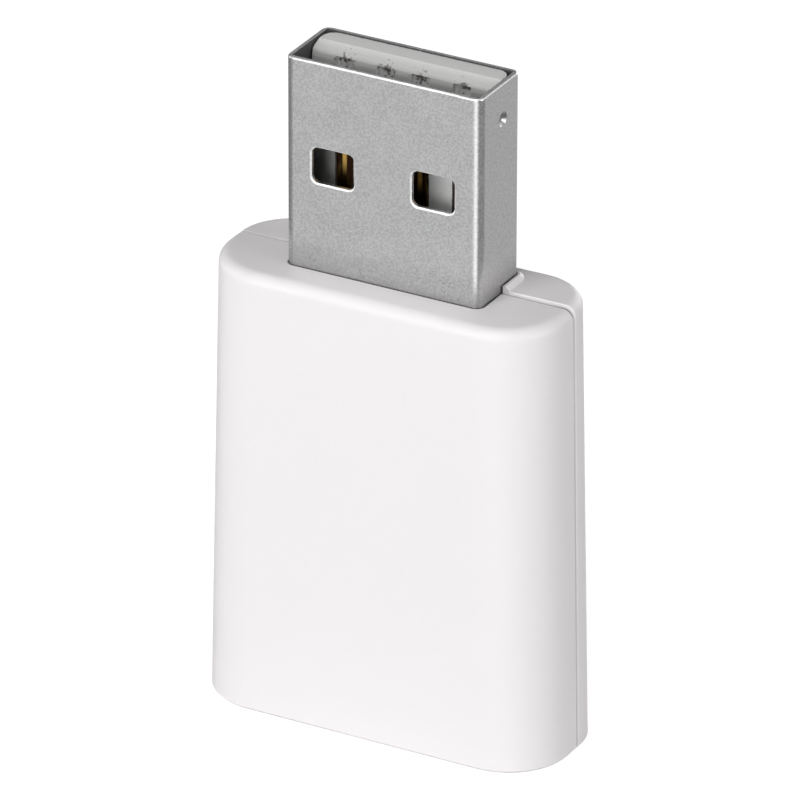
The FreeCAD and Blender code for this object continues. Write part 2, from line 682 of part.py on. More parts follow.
def contact(name, middle, below_tip):
    """One strip of the plug, from its sloped tip to the tail on the board."""
    body = new_body(name)
    profile = new_sketch(body, "StripProfile", "YZ_Plane", f"({middle} - Sizes.contact_width / 2)")
    tip = f"({PLUG_TIP} - {below_tip})"
    tail = f"({PLUG_END} - Sizes.contact_tail_length)"
    draw_outline(profile, [
        (CONTACT_FACE, tail),
        (CONTACT_BACK, tail),
        (CONTACT_BACK, tip),
        (f"({CONTACT_FACE} + Sizes.contact_tip_bevel)", tip),
        (CONTACT_FACE, f"({tip} - Sizes.contact_tip_slope)"),
    ])
    pad(body, "Strip", profile, "Sizes.contact_width")
    return body


# Circuit board
def circuit_board():
    """The board, notched for the plug's legs and drilled for the cover's pins."""
    body = new_body("circuit_board")
    plan = new_sketch(body, "BoardPlan", "XZ_Plane", f"-{BOARD_FRONT}")
    notch_in = f"({LEG_INNER} - Sizes.notch_clearance)"
    notch_out = f"({LEG_OUTER} + Sizes.notch_clearance)"
    notch_floor = f"({LEG_END} - Sizes.notch_clearance)"
    draw_outline(plan, [
        (f"-{BOARD_HALF}", BOARD_FOOT, "Sizes.board_corner"),
        (BOARD_HALF, BOARD_FOOT, "Sizes.board_corner"),
        (BOARD_HALF, BOARD_HEAD, "Sizes.board_corner"),
        (notch_out, BOARD_HEAD),
        (notch_out, notch_floor),
        (notch_in, notch_floor),
        (notch_in, BOARD_HEAD),
        (f"-{notch_in}", BOARD_HEAD),
        (f"-{notch_in}", notch_floor),
        (f"-{notch_out}", notch_floor),
        (f"-{notch_out}", BOARD_HEAD),
        (f"-{BOARD_HALF}", BOARD_HEAD, "Sizes.board_corner"),
    ])
    for across, up in POST_PLACES:
        draw_circle(plan, across, up, "(Sizes.pin_diameter + 2 * Sizes.pin_hole_clearance)")
    pad(body, "Laminate", plan, "Sizes.board_thickness", reverse=True)
    return body


def from_head(distance):
    """A height on the board, measured down from its head edge."""
    return f"({BOARD_HEAD} - {distance})"


def from_foot(distance):
    """A height on the board, measured up from its foot edge."""
    return f"({BOARD_FOOT} + {distance})"


def new_box(name, length, width, height, place):
    """A block on the board's front face: length along X, width along Z, height towards the front."""
    box = doc.addObject("Part::Box", name)
    box.setExpression("Length", length)
    box.setExpression("Height", width)
    box.setExpression("Width", height)
    box.setExpression("Placement.Base.x", f"({place[0]} - {length} / 2)")
    box.setExpression("Placement.Base.y", f"({place[1]} - {height})")
    box.setExpression("Placement.Base.z", f"({place[2]} - {width} / 2)")
    return box


def chip_part(name, middle, level, length, width, height, terminal):
    """A ceramic block between two end terminals that are a skin thicker than it."""
    skin = "Sizes.terminal_skin"
    place = (middle, f"({BOARD_FRONT} - {skin})", level)
    block = new_box(name + "_block", f"({length} - 2 * {skin})", f"({width} - 2 * {skin})",
                    f"({height} - 2 * {skin})", place)
    ends = []
    for side, end_name in ((-1, "_left_end"), (1, "_right_end")):
        end_middle = f"({middle} + {side} * ({length} - {terminal}) / 2)"
        ends.append(new_box(name + end_name, terminal, width, height,
                            (end_middle, BOARD_FRONT, level)))
    part = doc.addObject("Part::MultiFuse", name)
    part.Label = name
    part.Shapes = [block] + ends
    doc.recompute()
    return part


def leaded_chip(name, middle, level, lower_pins, upper_pins):
    """A moulded body on bent leads, with rows of pins along its lower and upper edges."""
    body = new_body(name, (middle, BOARD_FRONT, level))
    plan = new_sketch(body, "BodyPlan", "XZ_Plane", "Sizes.leaded_body_lift")
    half_length = "(Sizes.leaded_body_length / 2)"
    half_width = "(Sizes.leaded_body_width / 2)"
    draw_rectangle(plan, f"-{half_length}", half_length, f"-{half_width}", half_width)
    pad(body, "Moulding", plan, "Sizes.leaded_body_height")
    front = -value("Sizes.leaded_body_lift + Sizes.leaded_body_height")
    chamfer(body, "MouldingBevel", "Sizes.chip_edge_bevel", lambda edge: at_depth(edge, front))
    lead_middle = "(Sizes.leaded_body_lift + Sizes.leaded_body_height / 2)"
    lead_front = f"({lead_middle} + Sizes.lead_sheet / 2)"
    lead_back = f"({lead_middle} - Sizes.lead_sheet / 2)"
    lead_toe = f"({half_width} + Sizes.lead_reach)"
    for side, pins in ((-1, lower_pins), (1, upper_pins)):
        for pin in pins:
            lead_left = f"({pin} * Sizes.lead_pitch - Sizes.lead_width / 2)"
            row_name = "Upper" if side > 0 else "Lower"
            profile = new_sketch(body, f"{row_name}Lead", "YZ_Plane", lead_left)
            root = f"({side} * {half_width})"
            knee = f"({side} * ({lead_toe} - Sizes.lead_foot))"
            knee_out = f"({side} * ({lead_toe} - Sizes.lead_foot + Sizes.lead_sheet))"
            toe = f"({side} * {lead_toe})"
            draw_outline(profile, [
                (f"-{lead_back}", root),
                (f"-{lead_back}", knee),
                ("0", knee),
                ("0", toe),
                ("-Sizes.lead_sheet", toe),
                ("-Sizes.lead_sheet", knee_out),
                (f"-{lead_front}", knee_out),
                (f"-{lead_front}", root),
            ])
            pad(body, f"{row_name}Lead", profile, "Sizes.lead_width")
    return body


def flat_chip(name, middle, level, size, height):
    """A leadless chip with a bevelled face and a round mark at its first pin."""
    body = new_body(name, (middle, BOARD_FRONT, level))
    plan = new_sketch(body, "ChipPlan", "XZ_Plane")
    draw_rectangle(plan, f"(-{size} / 2)", f"({size} / 2)", f"(-{size} / 2)", f"({size} / 2)")
    pad(body, "Moulding", plan, height)
    front = -value(height)
    chamfer(body, "FaceBevel", "Sizes.chip_edge_bevel", lambda edge: at_depth(edge, front))
    mark = new_sketch(body, "MarkPlan", "XZ_Plane", height)
    mark_across = f"(-{size} / 2 + Sizes.chip_mark_inset)"
    mark_up = f"({size} / 2 - Sizes.chip_mark_inset)"
    draw_circle(mark, mark_across, mark_up, "Sizes.chip_mark_diameter")
    pocket(body, "Mark", mark, "Sizes.chip_mark_depth")
    return body


def crystal(middle, level):
    """A sealed metal can on its ceramic base."""
    body = new_body("crystal", (middle, BOARD_FRONT, level))
    half_length = "(Sizes.crystal_length / 2)"
    half_width = "(Sizes.crystal_width / 2)"
    base = new_sketch(body, "BasePlan", "XZ_Plane")
    draw_rectangle(base, f"-{half_length}", half_length, f"-{half_width}", half_width)
    pad(body, "Base", base, "(Sizes.crystal_height / 2)")
    lid = new_sketch(body, "LidPlan", "XZ_Plane")
    edge_step = "Sizes.chip_edge_bevel"
    draw_rectangle(lid, f"(-{half_length} + {edge_step})", f"({half_length} - {edge_step})",
                   f"(-{half_width} + {edge_step})", f"({half_width} - {edge_step})",
                   "Sizes.crystal_corner")
    pad(body, "Lid", lid, "Sizes.crystal_height")
    return body


RADIO_MIDDLE = "(-Sizes.radio_chip_left)"
RADIO_ROW = "(Sizes.radio_row_start + Sizes.radio_chip_size / 2)"
AMPLIFIER_MIDDLE = (f"({RADIO_MIDDLE} + Sizes.radio_chip_size / 2"
                    " + Sizes.chip_gap + Sizes.amplifier_size / 2)")
CRYSTAL_ROW = "(Sizes.radio_row_start + Sizes.crystal_width / 2)"
LOAD_ROW = (f"({CRYSTAL_ROW} + Sizes.crystal_width / 2"
            " + Sizes.small_chip_gap + Sizes.small_chip_width / 2)")
AMPLIFIER_ROW = (f"({LOAD_ROW} + Sizes.small_chip_width / 2"
                 " + Sizes.small_chip_gap + Sizes.amplifier_size / 2)")
CAN_HOLES_PER_SIDE = 2
CAN_MARGIN = "(Sizes.can_side_gap + Sizes.can_sheet)"
CAN_LEFT = f"({RADIO_MIDDLE} - Sizes.radio_chip_size / 2 - {CAN_MARGIN})"
CAN_RIGHT = f"({AMPLIFIER_MIDDLE} + Sizes.amplifier_size / 2 + {CAN_MARGIN})"
CAN_HEAD = from_head(f"(Sizes.radio_row_start - {CAN_MARGIN})")
CAN_FOOT = from_head(f"({AMPLIFIER_ROW} + Sizes.amplifier_size / 2 + {CAN_MARGIN})")


def shield_can():
    """A folded lid of thin sheet over the radio parts, with a row of vent holes."""
    body = new_body("shield_can")
    plan = new_sketch(body, "CanPlan", "XZ_Plane", f"-{BOARD_FRONT}")
    draw_rectangle(plan, CAN_LEFT, CAN_RIGHT, CAN_FOOT, CAN_HEAD)
    pad(body, "Block", plan, "Sizes.can_height")
    hollow = new_sketch(body, "HollowPlan", "XZ_Plane", f"-{BOARD_FRONT}")
    sheet_size = "Sizes.can_sheet"
    draw_rectangle(hollow, f"({CAN_LEFT} + {sheet_size})", f"({CAN_RIGHT} - {sheet_size})",
                   f"({CAN_FOOT} + {sheet_size})", f"({CAN_HEAD} - {sheet_size})")
    pocket(body, "Hollow", hollow, f"(Sizes.can_height - {sheet_size})", reverse=True)
    can_front = value(f"({BOARD_FRONT} - Sizes.can_height)")
    chamfer(body, "FoldBevel", "Sizes.can_fold", lambda edge: at_depth(edge, can_front))
    hole = new_sketch(body, "HolePlan", "XZ_Plane", f"(-{BOARD_FRONT} + Sizes.can_height)")
    middle = f"(({CAN_LEFT} + {CAN_RIGHT}) / 2)"
    level = f"(({CAN_FOOT} + {CAN_HEAD}) / 2)"
    for step in range(-CAN_HOLES_PER_SIDE, CAN_HOLES_PER_SIDE + 1):
        draw_circle(hole, f"({middle} + {step} * Sizes.can_hole_pitch)", level,
                    "Sizes.can_hole_diameter")
    pocket(body, "Holes", hole, sheet_size)
    return body


def board_parts():
    """Everything that is soldered to the board's front face."""
    left = "(-Sizes.power_column)"
    power_levels = [
        from_head(f"(Sizes.power_row + {step} * Sizes.power_row_step)") for step in (0, 1)
    ]
    capacitor_size = ("Sizes.capacitor_length", "Sizes.capacitor_width",
                      "Sizes.capacitor_height", "Sizes.terminal_length")
    small_size = ("Sizes.small_chip_length", "Sizes.small_chip_width",
                  "Sizes.small_chip_height", "Sizes.small_terminal_length")
    right = "Sizes.power_column"
    regulator = leaded_chip("voltage_regulator", left, power_levels[0], (-1, 0, 1), (-1, 1))
    protector = leaded_chip("surge_protector", right, power_levels[0], (-1, 0, 1), (-1, 0, 1))
    parts = [regulator, protector]
    parts.append(chip_part("input_capacitor", left, power_levels[1], *capacitor_size))
    parts.append(chip_part("output_capacitor", right, power_levels[1], *capacitor_size))
    for side, name in ((-1, "data_resistor_minus"), (1, "data_resistor_plus")):
        across = f"({side} * Sizes.small_chip_length)"
        level = from_head("Sizes.data_resistor_row")
        parts.append(chip_part(name, across, level, *small_size))
    radio_level = from_head(RADIO_ROW)
    amplifier_level = from_head(AMPLIFIER_ROW)
    parts.append(flat_chip("radio_chip", RADIO_MIDDLE, radio_level,
                           "Sizes.radio_chip_size", "Sizes.radio_chip_height"))
    parts.append(flat_chip("amplifier_chip", AMPLIFIER_MIDDLE, amplifier_level,
                           "Sizes.amplifier_size", "Sizes.amplifier_height"))
    parts.append(crystal(AMPLIFIER_MIDDLE, from_head(CRYSTAL_ROW)))
    for side, name in ((-1, "load_capacitor_left"), (1, "load_capacitor_right")):
        across = (f"({AMPLIFIER_MIDDLE} + {side}"
                  " * (Sizes.small_chip_length + Sizes.small_chip_gap) / 2)")
        parts.append(chip_part(name, across, from_head(LOAD_ROW), *small_size))
    parts.append(shield_can())
    antenna_level = from_foot("(Sizes.antenna_from_foot + Sizes.antenna_width / 2)")
    parts.append(chip_part("antenna", "0", antenna_level, "Sizes.antenna_length",
                           "Sizes.antenna_width", "Sizes.antenna_height",
                           "Sizes.antenna_terminal"))
    for side, name in ((-1, "matching_coil"), (1, "matching_capacitor")):
        across = f"({side} * Sizes.matching_spacing / 2)"
        parts.append(chip_part(name, across, from_foot("Sizes.matching_from_foot"), *small_size))
    return parts


pieces = [front_housing(), rear_cover(), plug_shell(), plug_insulator()]
pieces += [contact(name, middle, below) for name, (middle, below) in CONTACTS.items()]
pieces.append(circuit_board())
pieces += board_parts()
doc.recompute()

# Every object has to be sound before anything is written
for item in doc.Objects:
    if "Invalid" in item.State or "Error" in item.State:
        raise RuntimeError(f"{item.Label} failed to compute: {item.State}")
for piece in pieces:
    shape = piece.Shape
    if shape.isNull() or not shape.isValid() or not shape.Solids:
        raise RuntimeError(f"{piece.Label} has no sound solid")

for piece in pieces:
    piece.Shape.exportStep(f"parts/{piece.Label}.step")
    box = piece.Shape.BoundBox
    print(f"{piece.Label:22s} solids {len(piece.Shape.Solids)}  volume {piece.Shape.Volume:9.3f}  "
          f"x {box.XMin:7.2f} {box.XMax:7.2f}  y {box.YMin:6.2f} {box.YMax:6.2f}  "
          f"z {box.ZMin:6.2f} {box.ZMax:6.2f}")
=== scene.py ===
import math
import bpy
from mathutils import Matrix, Vector


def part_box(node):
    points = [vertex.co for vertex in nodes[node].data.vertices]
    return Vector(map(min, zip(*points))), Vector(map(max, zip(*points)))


# The look of a small plug-in signal repeater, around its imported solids
# Metres. Z runs up through the plug, and the front face looks along -Y.

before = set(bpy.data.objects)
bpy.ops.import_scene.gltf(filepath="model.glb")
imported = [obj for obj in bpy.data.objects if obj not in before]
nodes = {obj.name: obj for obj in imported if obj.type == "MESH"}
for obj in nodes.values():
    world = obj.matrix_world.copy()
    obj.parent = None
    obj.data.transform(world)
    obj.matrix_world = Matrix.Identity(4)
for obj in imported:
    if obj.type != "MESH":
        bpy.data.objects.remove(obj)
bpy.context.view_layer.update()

MM = 0.001

# Sockets that are no plain number
SOCKET_KINDS = {
    "Place": "NodeSocketVector", "Normal": "NodeSocketVector", "Colour": "NodeSocketColor"}

# Sockets of the mix node, which has several by the same name
MIX_SHARE = 0
MIX_LEVELS = (2, 3)
MIX_COLOURS = (6, 7)
MIXED_LEVEL = 0
MIXED_COLOUR = 2

# How fine the noise is inside its own spots
PLAIN_DETAIL = 1.0
FINE_DETAIL = 2.0


# Shader trees
def add_node(tree, kind, inputs=None, **settings):
    """A node with its settings and its inputs, each a plain value or the output that feeds it."""
    node = tree.nodes.new(kind)
    for name, setting in settings.items():
        setattr(node, name, setting)
    for name, source in (inputs or {}).items():
        if isinstance(source, bpy.types.NodeSocket):
            tree.links.new(source, node.inputs[name])
        else:
            node.inputs[name].default_value = source
    return node


def calculate(tree, operation, first, second=0.0, clamp=False):
    """The output of one sum."""
    inputs = {0: first, 1: second}
    return add_node(tree, "ShaderNodeMath", inputs, operation=operation, use_clamp=clamp).outputs[0]


def distance_between(tree, first, second):
    """How far two values are apart."""
    return calculate(tree, "ABSOLUTE", calculate(tree, "SUBTRACT", first, second))


def diagonal_of(tree, first, second):
    """The diagonal of a rectangle with the two sides."""
    squares = [calculate(tree, "MULTIPLY", side, side) for side in (first, second)]
    return calculate(tree, "SQRT", calculate(tree, "ADD", *squares))


def all_of(tree, *masks):
    """1 only where every mask is."""
    total = masks[0]
    for mask in masks[1:]:
        total = calculate(tree, "MULTIPLY", total, mask)
    return total


def opposite_of(tree, mask):
    """1 where the mask is 0, and 0 where it is 1."""
    return calculate(tree, "SUBTRACT", 1.0, mask)


def step_between(tree, value, low, high):
    """0 below the low value, 1 above the high one, and smooth between them."""
    inputs = {"Value": value, "From Min": low, "From Max": high}
    node = add_node(tree, "ShaderNodeMapRange", inputs, interpolation_type="SMOOTHSTEP")
    return node.outputs["Result"]


def blend_colours(tree, share, first, second):
    """A colour between two."""
    inputs = {MIX_SHARE: share, MIX_COLOURS[0]: first, MIX_COLOURS[1]: second}
    return add_node(tree, "ShaderNodeMix", inputs, data_type="RGBA").outputs[MIXED_COLOUR]


def blend_levels(tree, share, first, second):
    """A level between two."""
    inputs = {MIX_SHARE: share, MIX_LEVELS[0]: first, MIX_LEVELS[1]: second}
    return add_node(tree, "ShaderNodeMix", inputs).outputs[MIXED_LEVEL]


def axes_of(tree, place):
    """The place across, in depth and in height."""
    outputs = add_node(tree, "ShaderNodeSeparateXYZ", {"Vector": place}).outputs
    return outputs["X"], outputs["Y"], outputs["Z"]


def noise_of_size(tree, place, size, detail):
    """Noise whose spots are about as large as the size, in metres."""
    scale = calculate(tree, "DIVIDE", 1.0, size)
    inputs = {"Vector": place, "Scale": scale, "Detail": detail}
    return add_node(tree, "ShaderNodeTexNoise", inputs).outputs["Fac"]


def spread_around(tree, middle, value, spread):
    """The middle, moved up or down with a value between 0 and 1."""
    offset = calculate(tree, "SUBTRACT", value, 0.5)
    return calculate(tree, "ADD", middle, calculate(tree, "MULTIPLY", offset, spread))


# Node groups: where noise turns into spots, how a layer fades and how a speckled patch thins out
MOTTLE_STEP = (0.36, 0.64)
STREAK_STEP = (0.5, 0.68)
SPECKLE_STEP = (0.22, 0.46)
SPECKLE_THINNING = 0.34
LAYER_FADE = (0.7, 1.3)


def new_group(name, inputs, outputs):
    """An empty node group with named sockets, with its inlet and its outlet."""
    tree = bpy.data.node_groups.new(name, "ShaderNodeTree")
    for way, labels in (("INPUT", inputs), ("OUTPUT", outputs)):
        for label in labels:
            kind = SOCKET_KINDS.get(label, "NodeSocketFloat")
            tree.interface.new_socket(name=label, in_out=way, socket_type=kind)
    return tree, tree.nodes.new("NodeGroupInput"), tree.nodes.new("NodeGroupOutput")


def make_surface_grain():
    """Fine grain over a slow wave: roughness, normal and the grain's mask."""
    tree, inlet, outlet = new_group("surface_grain", [
        "Place", "Grain Size", "Grain Depth", "Wave Size", "Wave Depth", "Roughness",
        "Roughness Spread"], ["Roughness", "Normal", "Grain"])
    given = inlet.outputs
    grain = noise_of_size(tree, given["Place"], given["Grain Size"], FINE_DETAIL)
    wave = noise_of_size(tree, given["Place"], given["Wave Size"], PLAIN_DETAIL)
    both = calculate(tree, "MULTIPLY", calculate(tree, "ADD", grain, wave), 0.5)
    slow = add_node(tree, "ShaderNodeBump", {
        "Strength": 1.0, "Distance": given["Wave Depth"], "Height": wave})
    fine = add_node(tree, "ShaderNodeBump", {
        "Strength": 1.0, "Distance": given["Grain Depth"], "Height": grain,
        "Normal": slow.outputs["Normal"]})
    results = {
        "Roughness": spread_around(tree, given["Roughness"], both, given["Roughness Spread"]),
        "Normal": fine.outputs["Normal"],
        "Grain": step_between(tree, grain, *MOTTLE_STEP),
    }
    for label, source in results.items():
        tree.links.new(source, outlet.inputs[label])
    return tree


def make_tone_drift():
    """A colour made lighter and darker by a mask."""
    tree, inlet, outlet = new_group("tone_drift", ["Colour", "Mask", "Amount"], ["Colour"])
    level = spread_around(tree, 1.0, inlet.outputs["Mask"], inlet.outputs["Amount"])
    shifted = add_node(tree, "ShaderNodeHueSaturation", {
        "Value": level, "Color": inlet.outputs["Colour"]})
    tree.links.new(shifted.outputs["Color"], outlet.inputs["Colour"])
    return tree


def make_end_caps():
    """A mask for the two ends of a small block: 1 beyond the given distance from its middle."""
    tree, inlet, outlet = new_group("end_caps", ["Place", "Middle", "Bare Half"], ["Mask"])
    across, _, _ = axes_of(tree, inlet.outputs["Place"])
    away = distance_between(tree, across, inlet.outputs["Middle"])
    mask = calculate(tree, "GREATER_THAN", away, inlet.outputs["Bare Half"])
    tree.links.new(mask, outlet.inputs["Mask"])
    return tree


def make_tube_inside():
    """A mask that is 1 inside an upright tube, up to its inner walls."""
    tree, inlet, outlet = new_group("tube_inside", [
        "Place", "Half Width", "Middle Depth", "Half Depth"], ["Mask"])
    given = inlet.outputs
    across, deep, _ = axes_of(tree, given["Place"])
    away = calculate(tree, "ABSOLUTE", across)
    within = calculate(tree, "LESS_THAN", away, given["Half Width"])
    offset = distance_between(tree, deep, given["Middle Depth"])
    between = calculate(tree, "LESS_THAN", offset, given["Half Depth"])
    tree.links.new(all_of(tree, within, between), outlet.inputs["Mask"])
    return tree


def make_layer():
    """A mask for a thin upright layer about one depth, soft at its faces."""
    tree, inlet, outlet = new_group("layer", ["Place", "Depth", "Half Thickness"], ["Mask"])
    _, deep, _ = axes_of(tree, inlet.outputs["Place"])
    away = distance_between(tree, deep, inlet.outputs["Depth"])
    half = inlet.outputs["Half Thickness"]
    start, end = [calculate(tree, "MULTIPLY", half, share) for share in LAYER_FADE]
    beyond = step_between(tree, away, start, end)
    tree.links.new(opposite_of(tree, beyond), outlet.inputs["Mask"])
    return tree


def make_long_streaks():
    """A mask of narrow streaks that run up the object."""
    tree, inlet, outlet = new_group("long_streaks", [
        "Place", "Streak Width", "Stretch"], ["Mask"])
    given = inlet.outputs
    across, deep, high = axes_of(tree, given["Place"])
    short = calculate(tree, "MULTIPLY", high, given["Stretch"])
    drawn = add_node(tree, "ShaderNodeCombineXYZ", {"X": across, "Y": deep, "Z": short})
    streak = noise_of_size(tree, drawn.outputs["Vector"], given["Streak Width"], PLAIN_DETAIL)
    tree.links.new(step_between(tree, streak, *STREAK_STEP), outlet.inputs["Mask"])
    return tree


def make_round_spot():
    """A mask for a round spot on the sides, seen from beside the object."""
    tree, inlet, outlet = new_group("round_spot", [
        "Place", "Middle Depth", "Middle Height", "Radius"], ["Mask"])
    given = inlet.outputs
    _, deep, high = axes_of(tree, given["Place"])
    away = diagonal_of(tree, calculate(tree, "SUBTRACT", deep, given["Middle Depth"]),
                       calculate(tree, "SUBTRACT", high, given["Middle Height"]))
    mask = calculate(tree, "LESS_THAN", away, given["Radius"])
    tree.links.new(mask, outlet.inputs["Mask"])
    return tree


def make_dark_speckle_spot():
    """A mask for a speckled patch, dense at its middle and thinning out around it."""
    tree, inlet, outlet = new_group("dark_speckle_spot", [
        "Place", "Middle", "Middle Height", "Half Width", "Half Height", "Speckle Size"], ["Mask"])
    given = inlet.outputs
    across, _, high = axes_of(tree, given["Place"])
    aside = calculate(tree, "SUBTRACT", across, given["Middle"])
    above = calculate(tree, "SUBTRACT", high, given["Middle Height"])
    away = diagonal_of(tree, calculate(tree, "DIVIDE", aside, given["Half Width"]),
                       calculate(tree, "DIVIDE", above, given["Half Height"]))
    speckle = noise_of_size(tree, given["Place"], given["Speckle Size"], PLAIN_DETAIL)
    thinned = calculate(tree, "MULTIPLY", away, SPECKLE_THINNING)
    density = calculate(tree, "SUBTRACT", speckle, thinned)
    tree.links.new(step_between(tree, density, *SPECKLE_STEP), outlet.inputs["Mask"])
    return tree


surface_grain = make_surface_grain()
tone_drift = make_tone_drift()
end_caps = make_end_caps()
tube_inside = make_tube_inside()
layer = make_layer()
round_spot = make_round_spot()
long_streaks = make_long_streaks()
dark_speckle_spot = make_dark_speckle_spot()


# What all materials share
def place_group(tree, group, inputs):
    """A node group in a material, with its own values."""
    return add_node(tree, "ShaderNodeGroup", inputs, node_tree=group)


def new_material(name, grain):
    """A material with its shader, the place on the object, and the grain of its surface."""
    material = bpy.data.materials.new(name)
    material.use_nodes = True
    tree = material.node_tree
    tree.nodes.clear()
    shader = tree.nodes.new("ShaderNodeBsdfPrincipled")
    output = tree.nodes.new("ShaderNodeOutputMaterial")
    tree.links.new(shader.outputs["BSDF"], output.inputs["Surface"])
    place = tree.nodes.new("ShaderNodeTexCoord").outputs["Object"]
    surface = place_group(tree, surface_grain, {"Place": place, **grain})
    tree.links.new(surface.outputs["Roughness"], shader.inputs["Roughness"])
    tree.links.new(surface.outputs["Normal"], shader.inputs["Normal"])
    return material, tree, shader, place, surface


def colour_shader(tree, shader, surface, colour, tone):
    """The colour goes to the shader, with a drift of tone from the grain."""
    toned = place_group(tree, tone_drift, {
        "Colour": colour, "Mask": surface.outputs["Grain"], "Amount": tone})
    tree.links.new(toned.outputs["Colour"], shader.inputs["Base Color"])


def plain_material(name, colour, grain, tone, metallic=0.0):
    """One colour with grain and a drift of tone."""
    material, tree, shader, _, surface = new_material(name, grain)
    colour_shader(tree, shader, surface, colour, tone)
    shader.inputs["Metallic"].default_value = metallic
    return material


MOULDED_GRAIN = {
    "Grain Size": 0.09 * MM, "Grain Depth": 0.0015 * MM, "Wave Size": 2.5 * MM,
    "Wave Depth": 0.004 * MM, "Roughness": 0.42, "Roughness Spread": 0.16}
PLATED_GRAIN = {
    "Grain Size": 0.13 * MM, "Grain Depth": 0.003 * MM, "Wave Size": 1.6 * MM,
    "Wave Depth": 0.004 * MM, "Roughness": 0.3, "Roughness Spread": 0.2}
GOLD_GRAIN = {
    "Grain Size": 0.06 * MM, "Grain Depth": 0.001 * MM, "Wave Size": 0.8 * MM,
    "Wave Depth": 0.002 * MM, "Roughness": 0.55, "Roughness Spread": 0.2}
CERAMIC_GRAIN = {
    "Grain Size": 0.05 * MM, "Grain Depth": 0.001 * MM, "Wave Size": 0.4 * MM,
    "Wave Depth": 0.003 * MM, "Roughness": 0.5, "Roughness Spread": 0.2}
CHIP_GRAIN = {
    "Grain Size": 0.04 * MM, "Grain Depth": 0.003 * MM, "Wave Size": 0.5 * MM,
    "Wave Depth": 0.002 * MM, "Roughness": 0.6, "Roughness Spread": 0.2}

# Housing: its colours, and the places where its joint shows, with painted highlight and shade
SHELL_TONE = 0.012
WHITE_PLASTIC = (0.885, 0.861, 0.87, 1.0)
# Painted highlight on the flanks beside the joint, and painted shade in the joint's line
LIT_FLANK_PLASTIC = (0.93, 0.91, 0.915, 1.0)
PARTING_SHADE = (0.7, 0.68, 0.685, 1.0)
# Painted shade that dulls the lit bevel of the cover's edge at the head's left end
EDGE_SHADE_PLASTIC = (0.6, 0.59, 0.595, 1.0)
# Painted shade in the joint at the head's right corner
GAP_SHADE = (0.3, 0.29, 0.29, 1.0)
PARTING_DEPTH = 0.58 * MM
PARTING_LINE = 0.09 * MM
PARTING_FLANK = 0.2 * MM
COVER_EDGE_DEPTH = 0.655 * MM
COVER_EDGE_HALF = 0.07 * MM
HEAD_FROM = 26.42 * MM
GAP_DEPTH = 0.54 * MM
GAP_HALF = 0.05 * MM
CORNER_HEIGHTS = (25.0 * MM, 25.9 * MM)
CORNER_ACROSS = (9.1 * MM, 9.7 * MM)


def shell_plastic_material():
    """White moulding, with painted highlight beside the joint of the two shells and painted shade in
    it.

    The cover's edge has painted shade at the left of the head, where it stands level, and the joint
    has painted shade at the head's right corner.
    """
    material, tree, shader, place, surface = new_material("moulded_white", MOULDED_GRAIN)
    across, _, height = axes_of(tree, place)
    flanks, line, edge, gap = [
        place_group(tree, layer, {"Place": place, "Depth": depth, "Half Thickness": half})
        for depth, half in ((PARTING_DEPTH, PARTING_FLANK), (PARTING_DEPTH, PARTING_LINE),
                            (COVER_EDGE_DEPTH, COVER_EDGE_HALF), (GAP_DEPTH, GAP_HALF))]
    on_head = calculate(tree, "GREATER_THAN", height, HEAD_FROM)
    at_left = calculate(tree, "LESS_THAN", across, 0.0)
    # Painted shade on the cover's edge at the left of the head
    edge_shade = all_of(tree, edge.outputs["Mask"], on_head, at_left)
    # Painted shade in the joint at the head's right corner
    high_up = step_between(tree, height, *CORNER_HEIGHTS)
    far_right = step_between(tree, across, *CORNER_ACROSS)
    corner_shade = all_of(tree, gap.outputs["Mask"], high_up, far_right)
    # Painted highlight beside the joint, then painted shade in its line
    lit_flanks = blend_colours(tree, flanks.outputs["Mask"], WHITE_PLASTIC, LIT_FLANK_PLASTIC)
    lined = blend_colours(tree, line.outputs["Mask"], lit_flanks, PARTING_SHADE)
    edge_shaded = blend_colours(tree, edge_shade, lined, EDGE_SHADE_PLASTIC)
    shaded = blend_colours(tree, corner_shade, edge_shaded, GAP_SHADE)
    colour_shader(tree, shader, surface, shaded, SHELL_TONE)
    return material


# Plug: its colours, and the places of its windows, dimples and root, with painted shade and
# highlight
PLATED_TONE = 0.19
PLATED_STEEL = (0.72, 0.72, 0.725, 1.0)
# Painted shade on the inner walls of the plug's tube
INSIDE_SHADE_STEEL = (0.12, 0.12, 0.12, 1.0)
# Painted shade in the dimples
DIMPLE_SHADE_STEEL = (0.45, 0.45, 0.45, 1.0)
# Painted highlight on the bevelled edges of the front windows
EDGE_HIGHLIGHT_STEEL = (0.85, 0.85, 0.85, 1.0)
# Painted shade where the plug enters the housing
ROOT_SHADE_STEEL = (0.34, 0.34, 0.34, 1.0)
DULL_ROUGHNESS = 0.45
INSIDE_PLAY = 0.05 * MM
DIMPLE_DEPTH = 0.61 * MM
DIMPLE_HEIGHT = 36.89 * MM
DIMPLE_RADIUS = 0.45 * MM
BEVEL_DEPTHS = (0.0018 * MM, 0.09 * MM)
WINDOWS_HALF = 4.6 * MM
ROOT_HEIGHTS = (26.1 * MM, 28.8 * MM)


